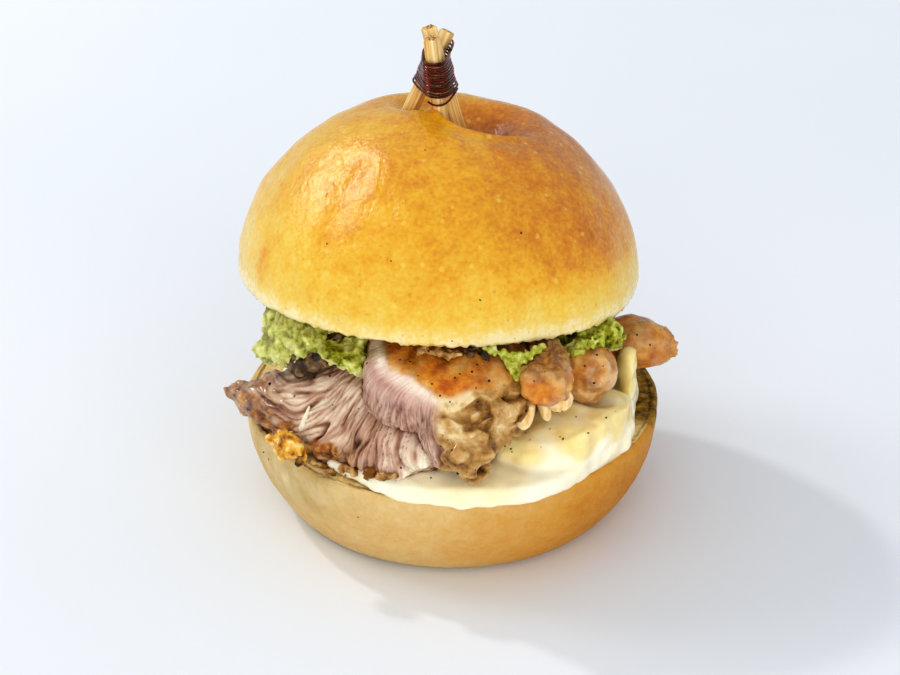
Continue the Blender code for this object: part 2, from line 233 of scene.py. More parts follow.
def even_mesh(mesh, pitch, rounds):
    """One skin of small even faces around everything in a mesh, its edges rounded off."""
    item = placed("even", mesh)
    even = item.modifiers.new("Even", "REMESH")
    even.mode = "VOXEL"
    even.voxel_size = pitch * MM
    soft = item.modifiers.new("Soft", "SMOOTH")
    soft.iterations = rounds
    return evaluated(item)


def mesh_of(points, faces):
    """A mesh of corners, in millimetres, and each face's corner numbers."""
    mesh = bpy.data.meshes.new("made")
    mesh.from_pydata((points * MM).tolist(), [], faces)
    return mesh


def corners_and_faces(build):
    """A mesh under construction, as its corners' places and each face's corner numbers."""
    faces = [[vert.index for vert in face.verts] for face in build.faces]
    return np.array([vert.co for vert in build.verts]), faces


def ball():
    """The corners and faces of a ball of radius 1."""
    build = bmesh.new()
    bmesh.ops.create_icosphere(build, subdivisions=1, radius=1.0)
    made = corners_and_faces(build)
    build.free()
    return made


def merged(parts):
    """One mesh of several, from (corners in millimetres, faces) pairs."""
    corners = []
    faces = []
    for points, corner_numbers in parts:
        start = sum(len(group) for group in corners)
        corners.append(points)
        faces += [[start + number for number in face] for face in corner_numbers]
    return mesh_of(np.vstack(corners), faces)


def scattered(build, count, chance, where=None):
    """Random places on the faces of a mesh, evenly spread, where a test allows."""
    faces = [face for face in build.faces if where is None or where(face.calc_center_median() / MM)]
    areas = np.array([face.calc_area() for face in faces])
    places = []
    for i in chance.choice(len(faces), count, p=areas / areas.sum()):
        corners = [vert.co for vert in faces[i].verts]
        shares = chance.dirichlet(np.ones(len(corners)))
        places.append(sum((corner * share for corner, share in zip(corners, shares)), Vector()) / MM)
    return places


def dressed_mesh(node, pitch, rounds, crumbs=(), seed=0):
    """A node's solid as an even mesh, with crumbs stuck on it from (count, low, high, where) rows."""
    chance = np.random.default_rng(seed)
    build = bmesh.new()
    build.from_mesh(frame["nodes"][node].data)
    corners, faces = corners_and_faces(build)
    parts = [(corners / MM, faces)]
    corners, faces = ball()
    for count, low, high, where in crumbs:
        for place in scattered(build, count, chance, where):
            parts.append((corners * chance.uniform(low, high) + np.array(place), faces))
    build.free()
    mesh = even_mesh(merged(parts), pitch, rounds)
    return mesh, points_of(mesh), normals_of(mesh)


def turned_mesh(rings, steps):
    """A closed skin turned about Z from (radius, height) rings, the first and last on the axis."""
    turns = np.arange(steps) * 2 * math.pi / steps
    rows = []
    for radius, height in rings[1:-1]:
        row = (radius * np.cos(turns), radius * np.sin(turns), np.full(steps, height))
        rows.append(np.stack(row, axis=1))
    points = np.vstack([[[0.0, 0.0, rings[0][1]]], *rows, [[0.0, 0.0, rings[-1][1]]]])
    faces = []
    last = len(points) - 1
    count = len(rows)
    for i in range(steps):
        nxt = (i + 1) % steps
        faces.append((0, 1 + i, 1 + nxt))
        faces.append((last, 1 + (count - 1) * steps + nxt, 1 + (count - 1) * steps + i))
        for row in range(count - 1):
            a = 1 + row * steps
            faces.append((a + i, a + steps + i, a + steps + nxt, a + nxt))
    return mesh_of(points, faces)


# Materials

NOISE = "ShaderNodeTexNoise"
COLOURS = "ShaderNodeValToRGB"
RANGE = "ShaderNodeMapRange"
MATH = "ShaderNodeMath"
MARK = "ShaderNodeAttribute"
MEAT_MARKS = ("strand", "lean", "pale", "roast", "glaze", "height")


def linear(code):
    """The linear colour of an sRGB hex code."""
    channels = [int(code[i : i + 2], 16) / 255 for i in (1, 3, 5)]
    return (*[c / 12.92 if c <= 0.04045 else ((c + 0.055) / 1.055) ** 2.4 for c in channels], 1.0)


def add(tree, kind, feed=None, stops=None, output=None, **settings):
    """Adds one node with its settings, its colour stops, and values or other nodes' outputs fed into it.
    Gives the output named, or else its first."""
    made = tree.nodes.new(kind)
    for name, value in settings.items():
        setattr(made, name, value)
    for i, (place, code) in enumerate(stops or ()):
        elements = made.color_ramp.elements
        stop = elements[i] if i < 2 else elements.new(place)
        stop.position = place
        stop.color = linear(code)
    for key, value in (feed or {}).items():
        socket = next(s for s in made.inputs if s.enabled and key in (s.name, s.identifier))
        if isinstance(value, bpy.types.NodeSocket):
            tree.links.new(value, socket)
        else:
            socket.default_value = value
    return made.outputs[output] if output else next(s for s in made.outputs if s.enabled)


def at_size(where, size, **more):
    """What a pattern is fed, to have features a number of millimetres across."""
    return {"Vector": where, "Scale": 1 / (size * MM), **more}


def between(value, low, high, least=0.0, most=1.0):
    """What a range is fed, to turn low to high into least to most."""
    return {"Value": value, "From Min": low, "From Max": high, "To Min": least, "To Max": most}


def soft_inside(weight, colours, depth):
    """A shader's settings for light that comes out again some millimetres away, in shares of its colours."""
    return {"Subsurface Weight": weight, "Subsurface Radius": colours, "Subsurface Scale": depth * MM}


def shader_of(made):
    return made.node_tree.nodes["Principled BSDF"]


def new_material(name, settings):
    """A material with its shader's own values set, its node tree, and where each point is on the object."""
    made = bpy.data.materials.new(name)
    made.use_nodes = True
    for key, value in settings.items():
        shader_of(made).inputs[key].default_value = value
    where = add(made.node_tree, "ShaderNodeTexCoord", output="Object")
    return made, made.node_tree, where


def connect(made, **outputs):
    """Feeds the shader."""
    for key, output in outputs.items():
        made.node_tree.links.new(output, shader_of(made).inputs[key.replace("_", " ")])
    return made


def tones(tree, where, size, stops, **more):
    """A pattern with features of one size, as a level and as colours."""
    level = add(tree, NOISE, at_size(where, size, **more))
    return level, add(tree, COLOURS, {"Fac": level}, stops)


def toned(name, settings, size, detail, stops, bump_size=0.0, bump_depth=0.0):
    """A material of one pattern's tones, with or without a finer pattern's bumps."""
    made, tree, where = new_material(name, settings)
    connect(made, Base_Color=tones(tree, where, size, stops, Detail=detail)[1])
    if bump_depth:
        fine = add(tree, NOISE, at_size(where, bump_size, Detail=3.0))
        connect(made, Normal=relief(tree, (fine, bump_depth)))
    return made


def uneven_tone(tree, where, base, *layers):
    """A level with noise added around it, from (size, share) layers."""
    for size, share in layers:
        grain = add(tree, NOISE, at_size(where, size, Detail=3.0))
        shift = add(tree, RANGE, between(grain, 0.0, 1.0, -share, share))
        base = add(tree, MATH, {"Value": base, "Value_001": shift}, operation="ADD")
    return base


def specks(tree, where, size, rarity, edge=0.22):
    """Small round spots, in the few cells whose random value passes rarity."""
    cells = add(tree, "ShaderNodeTexVoronoi", at_size(where, size))
    chance = add(tree, "ShaderNodeSeparateColor", {"Color": cells.node.outputs["Color"]})
    lucky = add(tree, MATH, {"Value": chance, "Value_001": rarity}, operation="GREATER_THAN")
    round_spot = add(tree, RANGE, between(cells, edge, 0.6 * edge))
    return add(tree, MATH, {"Value": lucky, "Value_001": round_spot}, operation="MULTIPLY")


def overlaid(tree, under, *layers):
    """A colour with others laid over it, from (mask, most, colour) layers."""
    for mask, most, over in layers:
        share = add(tree, MATH, {"Value": mask, "Value_001": most}, operation="MULTIPLY")
        over = linear(over) if isinstance(over, str) else over
        under = add(tree, "ShaderNodeMix", {"Factor": share, "A": under, "B": over}, data_type="RGBA")
    return under


def relief(tree, *layers):
    """Bumps on bumps, from (height, depth) layers with depths in millimetres."""
    under = None
    for height, depth in layers:
        feed = {"Height": height, "Distance": depth * MM}
        if under:
            feed["Normal"] = under
        under = add(tree, "ShaderNodeBump", feed)
    return under


def baked_crust():
    """Wheat dough, egg-washed and baked: golden and mottled, with fine blisters and a soft gloss, paler
    towards the cut where the wash stopped."""
    shine = {"IOR": 1.45, "Specular IOR Level": 0.05}
    egg = {"Coat Weight": 1.0, "Coat Roughness": 0.27, "Coat IOR": 1.7}
    soft = soft_inside(0.06, (1.0, 0.5, 0.15), 2.0)
    made, tree, where = new_material("baked egg-washed dough", shine | egg | soft)
    # The bake_and_shade mark is the bake, with painted shade laid into it at the right side, in the hollow
    # and the groove, and low on the front.
    bake_and_shade = add(tree, MARK, output="Fac", attribute_name="bake_and_shade")
    level = uneven_tone(tree, where, bake_and_shade, (15.0, 0.18), (3.4, 0.18), (0.9, 0.2))
    stops = [(0.0, "#f0e0ac"), (0.12, "#ebd27c"), (0.3, "#e8c44a")]
    stops += [(0.5, "#e4ad20"), (0.7, "#d28704"), (1.0, "#984a00")]
    colour = add(tree, COLOURS, {"Fac": level}, stops)
    freckles = specks(tree, where, 1.4, 0.86, 0.3)
    pale = specks(tree, where, 1.9, 0.88, 0.34)
    dark = specks(tree, where, 3.4, 0.975, 0.12)
    layers = [(pale, 0.3, "#ffdf7a"), (freckles, 0.25, "#b9690c"), (dark, 0.9, "#3d1c06")]
    colour = overlaid(tree, colour, *layers)
    blisters = add(tree, NOISE, at_size(where, 0.9, Detail=4.0, Roughness=0.65))
    slant = {"Vector": where, "Rotation": (0.6, 0.5, 0.3), "Scale": (1.0, 0.4, 0.4)}
    slanted = add(tree, "ShaderNodeMapping", slant)
    creases = add(tree, NOISE, at_size(slanted, 1.9, Detail=2.0, Distortion=0.5))
    dents = add(tree, NOISE, at_size(where, 4.2, Detail=2.0, Distortion=0.4))
    rough = add(tree, RANGE, between(blisters, 0.3, 0.7, 0.36, 0.55))
    bumps = relief(tree, (dents, 0.22), (creases, 0.24), (blisters, 0.15))
    return connect(made, Base_Color=colour, Roughness=rough, Normal=bumps, Coat_Normal=bumps)


def heel_crust():
    """Wheat dough, baked on the tray without wash: even straw gold, satin, finely pored, stained pale grey
    by meat juice in one place and soaked olive brown at the cut in another."""
    shine = {"IOR": 1.45, "Specular IOR Level": 0.25}
    soft = soft_inside(0.06, (1.0, 0.5, 0.15), 2.0)
    made, tree, where = new_material("baked plain dough", shine | soft)
    # The bake_and_shade mark darkens the right side: partly bake, partly painted shade.
    names = ("bake_and_shade", "stain", "crumb", "soak")
    marks = {name: add(tree, MARK, output="Fac", attribute_name=name) for name in names}
    level = uneven_tone(tree, where, marks["bake_and_shade"], (13.0, 0.2), (2.4, 0.14), (0.9, 0.12))
    stops = [(0.0, "#e6d6ae"), (0.25, "#dcc08a"), (0.5, "#d4ab68"), (0.75, "#d09a44"), (1.0, "#bf7f28")]
    colour = add(tree, COLOURS, {"Fac": level}, stops)
    _, stained = tones(tree, where, 6.0, [(0.3, "#b9a068"), (0.7, "#e2d0a4")], Detail=3.0)
    stops = [(0.36, "#4f3d08"), (0.5, "#8a6a18"), (0.64, "#b89438")]
    _, soaked = tones(tree, where, 2.2, stops, Detail=4.0, Roughness=0.7)
    _, crumb = tones(tree, where, 1.2, [(0.3, "#e2c47e"), (0.7, "#fae9b8")], Detail=3.0)
    dark = specks(tree, where, 3.2, 0.96, 0.13)
    layers = [(marks["stain"], 1.0, stained), (marks["crumb"], 1.0, crumb), (marks["soak"], 1.0, soaked)]
    colour = overlaid(tree, colour, *layers, (dark, 0.7, "#6b4216"))
    pores = add(tree, NOISE, at_size(where, 0.8, Detail=3.0))
    rough = add(tree, RANGE, between(pores, 0.3, 0.7, 0.45, 0.62))
    dents = add(tree, NOISE, at_size(where, 3.2, Detail=2.0))
    return connect(made, Base_Color=colour, Roughness=rough, Normal=relief(tree, (dents, 0.3), (pores, 0.2)))


def roast_pork():
    """Pork shoulder, slow roasted and cut: pink-brown lean in bundles of fibre, soft beige fat and gristle,
    and an orange-brown glazed outside with scorched specks, all moist."""
    shine = {"IOR": 1.42, "Specular IOR Level": 0.3, "Coat Weight": 0.6, "Coat Roughness": 0.14}
    soft = soft_inside(0.12, (1.0, 0.35, 0.2), 1.2)
    made, tree, where = new_material("slow-roasted pork", shine | soft)
    names = ("across", "along", *MEAT_MARKS)
    # The strand, height and roast marks carry painted shade: darker in the creases and gaps between fibres,
    # in folds and hollows, and under the crown's rim.
    marks = {name: add(tree, MARK, output="Fac", attribute_name=name) for name in names}
    fan = add(tree, "ShaderNodeCombineXYZ", {"X": marks["across"], "Y": marks["along"]})
    hair = add(tree, NOISE, {"Vector": fan, "Scale": 1 / 0.8, "Detail": 3.0, "Roughness": 0.6})
    spread = add(tree, RANGE, between(hair, 0.25, 0.75, -0.2, 0.2))
    tone = add(tree, MATH, {"Value": marks["strand"], "Value_001": spread}, operation="ADD")
    stops = [(0.0, "#42240f"), (0.2, "#7f5338"), (0.42, "#b28a70")]
    stops += [(0.62, "#d2b49c"), (0.85, "#ecdac0"), (1.0, "#faf0dc")]
    lean = add(tree, COLOURS, {"Fac": tone}, stops)
    stops = [(0.1, "#a87c70"), (0.45, "#d6b0a4"), (0.75, "#ecd4c6"), (1.0, "#faeede")]
    pink = add(tree, COLOURS, {"Fac": tone}, stops)
    lumps = add(tree, NOISE, at_size(where, 2.8, Detail=4.0, Roughness=0.6))
    level = add(tree, MATH, {"Value": lumps, "Value_001": marks["height"]}, operation="ADD")
    stops = [(0.4, "#3e240c"), (0.58, "#8c6430"), (0.76, "#bf9658"), (0.92, "#d8b984"), (1.0, "#e8d4a8")]
    fat = add(tree, COLOURS, {"Fac": level}, stops)
    stops = [(0.3, "#251004"), (0.45, "#6d3c10"), (0.56, "#a97028"), (0.72, "#d9ac5c")]
    browned, roast = tones(tree, where, 1.8, stops, Detail=4.0, Roughness=0.7)
    stops = [(0.3, "#863c04"), (0.44, "#c06a12"), (0.56, "#da922e"), (0.72, "#ecc274")]
    _, glaze = tones(tree, where, 4.5, stops, Detail=4.0, Roughness=0.6)
    scorched = specks(tree, where, 1.7, 0.94, 0.2)
    layers = [(marks["lean"], 1.0, lean), (marks["pale"], 1.0, pink), (marks["roast"], 1.0, roast)]
    layers += [(marks["glaze"], 1.0, glaze), (scorched, 0.85, "#170b05")]
    colour = overlaid(tree, fat, *layers)
    rough = add(tree, RANGE, between(browned, 0.3, 0.7, 0.22, 0.5))
    fine = add(tree, NOISE, at_size(where, 0.6, Detail=3.0))
    fibre = add(tree, MATH, {"Value": hair, "Value_001": marks["lean"]}, operation="MULTIPLY")
    return connect(made, Base_Color=colour, Roughness=rough, Normal=relief(tree, (fine, 0.15), (fibre, 0.3)))


def spread_cream():
    """Egg-yolk cream sauce, spread with a spoon: smooth, wet and pale yellow, with pools of yellow oil."""
    shine = {"IOR": 1.45, "Specular IOR Level": 0.35, "Roughness": 0.36}
    wet = {"Coat Weight": 0.3, "Coat Roughness": 0.12}
    soft = soft_inside(0.3, (1.0, 0.8, 0.45), 3.0)
    made, tree, where = new_material("spoon-spread cream sauce", shine | wet | soft)
    broad, colour = tones(tree, where, 8.0, [(0.3, "#fff3d2"), (0.7, "#fff9e4")], Detail=2.0)
    _, clear = tones(tree, where, 3.5, [(0.3, "#e3bd34"), (0.7, "#fae488")], Detail=2.0)
    oil = add(tree, MARK, output="Fac", attribute_name="oil")
    pepper = specks(tree, where, 2.4, 0.955, 0.13)
    colour = overlaid(tree, colour, (oil, 0.8, clear), (pepper, 0.9, "#33240f"))
    fine = add(tree, NOISE, at_size(where, 1.4, Detail=2.0))
    return connect(made, Base_Color=colour, Normal=relief(tree, (broad, 0.7), (fine, 0.1)))


def crushed_greens():
    """Cooked green vegetables crushed with a fork: lime green crumbs, moist, with painted shade in the gaps
    between them and painted light on their tops.
    """
    shine = {"IOR": 1.4, "Specular IOR Level": 0.35, "Roughness": 0.45}
    wet = {"Coat Weight": 0.2, "Coat Roughness": 0.15}
    soft = soft_inside(0.1, (0.7, 1.0, 0.2), 1.0)
    made, tree, where = new_material("fork-crushed greens", shine | wet | soft)
    crumbs = add(tree, NOISE, at_size(where, 1.2, Detail=4.0, Roughness=0.7))
    spread = add(tree, RANGE, between(crumbs, 0.25, 0.75, -0.35, 0.35))
    marks = {name: add(tree, MARK, output="Fac", attribute_name=name) for name in ("height", "pale")}
    level = add(tree, MATH, {"Value": marks["height"], "Value_001": spread}, operation="ADD")
    stops = [(0.05, "#2b2a02"), (0.25, "#6b6c10"), (0.45, "#a8ab32"), (0.7, "#d0d470"), (1.0, "#f0f2b4")]
    colour = add(tree, COLOURS, {"Fac": level}, stops)
    wide = add(tree, NOISE, at_size(where, 6.0, Detail=3.0))
    brown = add(tree, RANGE, between(wide, 0.54, 0.68))
    colour = overlaid(tree, colour, (brown, 0.6, "#86701a"), (marks["pale"], 0.8, "#ded9a0"))
    return connect(made, Base_Color=colour, Normal=relief(tree, (crumbs, 0.4)))


def cooked_mushroom():
    """Small mushroom, steamed: smooth wet ivory flesh, faintly streaked along the stem."""
    shine = {"IOR": 1.4, "Coat Weight": 0.3, "Coat Roughness": 0.15, "Roughness": 0.3}
    soft = soft_inside(0.3, (1.0, 0.7, 0.4), 1.5)
    made, tree, where = new_material("steamed mushroom flesh", shine | soft)
    long_way = add(tree, "ShaderNodeMapping", {"Vector": where, "Scale": (1.0, 1.0, 0.25)})
    stops = [(0.3, "#d9ad6c"), (0.5, "#f2d7a2"), (0.75, "#fff0cf")]
    streaks, colour = tones(tree, long_way, 1.4, stops, Detail=3.0)
    return connect(made, Base_Color=colour, Normal=relief(tree, (streaks, 0.12)))


def fried_onion():
    """Onion fried soft and dark: olive black to purple brown, slippery."""
    shine = {"IOR": 1.4, "Coat Weight": 0.5, "Coat Roughness": 0.12, "Roughness": 0.3}
    stops = [(0.3, "#160d08"), (0.48, "#4a3122"), (0.6, "#7d6340"), (0.78, "#c4a878")]
    return toned("fried dark onion", shine, 2.6, 3.0, stops, 1.0, 0.35)


def fried_fat():
    """Pork fat, fried crisp in itself: bubbly bright yellow, browned in its hollows."""
    shine = {"IOR": 1.45, "Coat Weight": 0.5, "Coat Roughness": 0.12, "Roughness": 0.3}
    stops = [(0.3, "#5e2c0a"), (0.42, "#bd7d1c"), (0.54, "#e6b440"), (0.72, "#fbe8a4")]
    return toned("fried pork fat", shine, 2.0, 3.0, stops, 0.8, 0.3)


def split_bamboo(line):
    """Bamboo, split into square sticks: pale straw with fibres along it, and dark fibre ends at its cut."""
    shine = {"IOR": 1.5, "Specular IOR Level": 0.3, "Roughness": 0.5}
    made, tree, where = new_material("split bamboo", shine)
    foot, top = (Vector(point) for point in line)
    along = (top - foot).normalized()
    turn = {"Vector": where, "Rotation": along.to_track_quat("Z", "X").inverted().to_euler()}
    turned = add(tree, "ShaderNodeVectorRotate", turn, rotation_type="EULER_XYZ")
    long_way = add(tree, "ShaderNodeMapping", {"Vector": turned, "Scale": (1.0, 1.0, 0.03)})
    stops = [(0.3, "#b88240"), (0.43, "#dcb26c"), (0.56, "#ecd39a"), (0.78, "#fbeecb")]
    fibres, colour = tones(tree, long_way, 0.6, stops, Detail=3.0)
    facing = {"Vector": add(tree, "ShaderNodeNewGeometry", output="Normal"), "Vector_001": along}
    facing = add(tree, "ShaderNodeVectorMath", facing, output="Value", operation="DOT_PRODUCT")
    end = add(tree, RANGE, between(facing, 0.8, 0.9))
    _, tubes = tones(tree, where, 0.4, [(0.42, "#743312"), (0.52, "#e2b878")], Detail=2.0)
    colour = overlaid(tree, colour, (end, 1.0, tubes))
    return connect(made, Base_Color=colour, Normal=relief(tree, (fibres, 0.08)))


def enamelled_wire():
    """Copper wire, drawn and baked with dark red-brown enamel: smooth, glossy, the metal glinting."""
    shine = {"Metallic": 0.85, "Roughness": 0.25, "Coat Weight": 0.7, "Coat Roughness": 0.06}
    return toned("enamelled copper wire", shine, 2.5, 2.0, [(0.3, "#3a120b"), (0.75, "#93382a")])


def meat_juice():
    """Meat juice, reduced in the oven: a clear brown drop."""
    shine = {"IOR": 1.36, "Roughness": 0.06, "Transmission Weight": 0.4}
    return toned("reduced meat juice", shine, 2.0, 2.0, [(0.3, "#8a5014"), (0.7, "#c08a3c")])


def ground_pepper():
    """Black pepper, coarsely ground: dry dark grains."""
    shine = {"IOR": 1.45, "Roughness": 0.7}
    return toned("ground black pepper", shine, 0.5, 2.0, [(0.3, "#120b07"), (0.7, "#3b2a1c")])


def studio_board():
    """Card, painted matt white: slightly cool."""
    shine = {"Roughness": 0.9, "Specular IOR Level": 0.1}
    return toned("matt painted card", shine, 120.0, 1.0, [(0.0, "#eaeef4"), (1.0, "#eef2f7")])


# The buns


def waves(turns, parts):
    """How far from round a bun is at each angle, from a few waves: count, share and phase."""
    return sum(share * np.sin(count * turns + phase) for count, share, phase in parts)


def groove_at(points):
    """1 along the shallow groove in the dome's left shoulder, which its shine breaks off at."""
    ends = np.array(CROWN_GROOVE)
    along = np.clip((points - ends[0]) @ (ends[1] - ends[0]) / np.sum((ends[1] - ends[0]) ** 2), 0, 1)
    away = np.linalg.norm(points - ends[0] - along[:, None] * (ends[1] - ends[0]), axis=1)
    return np.exp(-((away / (2.2 + 1.8 * along)) ** 2)) * (0.75 + 0.25 * noise(points, 4.0, 8))


def dress_crown():
    """The upper bun's skin: a wrinkled dome that turns under to a torn crumb edge."""
    rings = [(0.0, CROWN_HEIGHT)]
    for i in range(1, 141):
        angle = math.radians(90) * (1 - (i / 140) ** 1.1)
        rings.append((CROWN_RADIUS * math.cos(angle), CROWN_HEIGHT * math.sin(angle)))
    for i in range(1, 7):
        angle = math.radians(90) * i / 6
        rings.append((CROWN_RADIUS - CROWN_RIM * (1 - math.cos(angle)), -CROWN_RIM * math.sin(angle)))
    for share in np.linspace(0.97, 0.0, 34):
        rings.append((CROWN_RADIUS * share, -CROWN_RIM + CROWN_DISH * (1 - share**2)))
    mesh = turned_mesh(rings, SKIN_STEPS)
    points = points_of(mesh)
    turns = np.arctan2(points[:, 1], points[:, 0])
    height = points[:, 2].copy()
    radius = np.hypot(points[:, 0], points[:, 1])
    rise = np.zeros(len(points))
    for x, y, reach, swell in CROWN_SWELLS:
        away = np.hypot(points[:, 0] - x, points[:, 1] - y) / reach
        rise += swell * np.exp(-(away**2))
    points[:, 2] += rise * np.clip(1.6 * height / CROWN_HEIGHT, 0, 1)
    points[:, :2] *= (1 + waves(turns, ((2, 0.006, 0.6), (3, 0.004, 2.0), (7, 0.003, 0.0))))[:, None]
    out = points / np.linalg.norm(points, axis=1)[:, None]
    skin = ramp(height, -0.5, 2.0)
    lift = 0.3 * noise(points, 8.0, 1) + 0.08 * noise(points, 2.6, 2) - 0.8 * groove_at(points)
    lip = np.hypot(points[:, 0] - CROWN_SWELLS[0][0], points[:, 1] - CROWN_SWELLS[0][1]) - 10.0
    front = ramp(-points[:, 1] - 0.3 * points[:, 0], 0, 6) * ramp(height, 20, 30)
    lift += 1.2 * np.exp(-((lip / 1.5) ** 2)) * front
    points += out * (lift * skin)[:, None]
    rim = np.exp(-((np.hypot(radius - CROWN_RADIUS, (height + CROWN_RIM) * 0.8) / 1.2) ** 2))
    points[:, 2] += rim * (0.5 * noise(points, 1.2, 4) + 0.35 * noise(points, 2.6, 5))
    crumb = (height < -0.6 * CROWN_RIM) & (radius < CROWN_RADIUS)
    points[:, 2] += crumb * (0.35 * noise(points, 1.6, 6) + 0.25 * noise(points, 0.8, 7))
    set_points(mesh, points)
    x, y, _ = points.T
    bake_and_shade = 0.02 + 0.22 * ramp(height, 0.2, 4) + 0.17 * ramp(height, 4, 20) + 0.12 * ramp(height, 18, 37)
    # Deeper orange towards the right: partly a darker bake, partly painted shade on the side turned from the
    # lamps.
    bake_and_shade += 0.26 * ramp(x + 0.3 * height, 10, 40) * ramp(height, 3, 14)
    # Painted shade: darker in the hollow behind the picks and along the groove in the left shoulder.
    bake_and_shade += 0.34 * spot(points, (9, 0, 30), (9, 8, 9)) + 0.1 * groove_at(points)
    bake_and_shade += 0.3 * spot(points, (-35.8, -20.6, 7.8), (3, 3, 4))
    # Painted shade: darker low on the front of the dome.
    bake_and_shade += 0.1 * ramp(-y, 12, 34) * ramp(height, 1, 8)
    mark_share(mesh, "bake_and_shade", bake_and_shade)
    turn = Euler([math.radians(a) for a in CROWN_TURN]).to_matrix().to_4x4()
    mesh.transform(Matrix.Translation(Vector(CROWN_PLACE) * MM) @ turn)
    new_piece("crown_crust", mesh, baked_crust(), "bun_crown", "bun_crown")


def dress_base():
    """The lower bun's skin, with its cut crumb face."""
    rings = [(0.0, BASE_HEIGHT - BASE_DISH)]
    for share in np.linspace(0.02, 0.965, 60):
        rings.append((BASE_RADIUS * share, BASE_HEIGHT - BASE_DISH * (1 - share**2)))
    for i in range(7):
        angle = math.radians(90) * (1 - i / 6)
        across = BASE_RADIUS - BASE_RIM + BASE_RIM * math.cos(angle)
        rings.append((across, BASE_HEIGHT - BASE_RIM * (1 - math.sin(angle))))
    lowest = math.asin((BASE_HEIGHT - BASE_RIM - BASE_FOOT) / BASE_DEPTH)
    for i in range(1, 61):
        turn = lowest * i / 60
        rings.append((BASE_RADIUS * math.cos(turn), BASE_HEIGHT - BASE_RIM - BASE_DEPTH * math.sin(turn)))
    edge = rings[-1][0]
    for i in range(1, 9):
        share = i / 8
        rings.append((edge + (BASE_FLAT_RADIUS - edge) * share, BASE_FOOT * (1 - share) ** 1.7))
    rings.append((0.5 * BASE_FLAT_RADIUS, 0.0))
    rings.append((0.0, 0.0))
    mesh = turned_mesh(rings, SKIN_STEPS)
    points = points_of(mesh)
    turns = np.arctan2(points[:, 1], points[:, 0])
    height = points[:, 2].copy()
    radius = np.hypot(points[:, 0], points[:, 1])
    wave = waves(turns, ((2, 0.006, 2.4), (3, 0.005, 0.5), (5, 0.003, 0.0)))
    points[:, :2] *= (1 + wave * np.clip(height / 4, 0, 1))[:, None]
    out = points * (1, 1, 0) / np.maximum(radius, 1)[:, None]
    side = ramp(radius, 33, 37) * ramp(height, 0.3, 4) * (height < BASE_HEIGHT - 0.9)
    points += out * (side * (0.3 * noise(points, 10.0, 11) + 0.06 * noise(points, 2.2, 12)))[:, None]
    cut = (height > BASE_HEIGHT - BASE_DISH - 0.1) & (radius < BASE_RADIUS - 0.6 * BASE_RIM)
    points[:, 2] += cut * (0.3 * noise(points, 2.0, 13) + 0.2 * noise(points, 1.0, 14) - 0.3)
    set_points(mesh, points)
    x, y, _ = points.T
    # Darker towards the right: partly a darker bake, partly painted shade on the side turned from the lamps.
    bake_and_shade = 0.24 + 0.14 * ramp(radius, 32, 41) - 0.1 * ramp(height, 15, 21) + 0.5 * ramp(x, -8, 34)
    mark_share(mesh, "bake_and_shade", bake_and_shade)
    stain = spot(points, (-33, -30, 19), (13, 12, 8)) * ramp(height, 7, 14)
    mark_share(mesh, "stain", 0.9 * stain + 0.3 * ramp(-x, 26, 42))
    soak = ramp(height, 19.6, 21.2) * ramp(x, 34, 38) * ramp(y + 3 * noise(points, 5, 15), -17, -8)
    mark_share(mesh, "soak", soak)
    mark_share(mesh, "crumb", cut * 1.0)
    new_piece("base_crust", mesh, heel_crust(), "bun_base", "bun_base")


# The meat


def slice_axes():
    normal = Vector(SLICE_FACING).normalized()
    across = (Vector(SLICE_RIGHT) - normal * normal.dot(Vector(SLICE_RIGHT))).normalized()
    return np.array(across), np.array(normal.cross(across)), np.array(normal)


def in_slice(points):
    """Places in the slice's face: to its right, up it and out of it."""
    return [(points - np.array(SLICE_PLACE)) @ axis for axis in slice_axes()]


def fan_of(points):
    """Where points lie in the fan of fibres: across the fibres, and along them."""
    u, v, out = in_slice(points)
    u = u - FIBRE_CENTRE[0]
    v = v - FIBRE_CENTRE[1]
    along = np.hypot(u, v)
    turn = np.mod(np.arctan2(v, u), 2 * math.pi)
    strand = (turn + 0.16 * np.sin(along / 8.0)) * FIBRES_PER_RADIAN
    return strand + 0.7 * noise(points, 8.0, 18), along, out


def fibre_relief(points):
    """Bundles of fibre with creases between them, and finer strands on the bundles."""
    across, along, out = fan_of(points)
    low = ramp(-in_slice(points)[1], -5, 3)
    field = np.stack([across, along / FIBRE_STRETCH, out / 3.0], axis=1)
    wide = noise(field, 2.8, 21)
    narrow = noise(field * (1, 0.75, 1), 1.15, 22)
    crease = np.exp(-((wide / 0.12) ** 2)) * (0.3 + 0.7 * low) * ramp(noise(points, 4.0, 17), -0.4, 0.1)
    gap = np.exp(-((narrow / 0.16) ** 2))
    return 0.3 * wide - (0.5 + 0.4 * low) * crease - 0.34 * gap + 0.15 * narrow, crease, gap


def mark_meat(mesh, points, **shares):
    """The marks that the pork's material reads."""
    across, along, _ = fan_of(points)
    mark(mesh, "across", across)
    mark(mesh, "along", along / FIBRE_STRETCH)
    for name in MEAT_MARKS:
        mark_share(mesh, name, shares.get(name, 0.0) + np.zeros(len(points)))


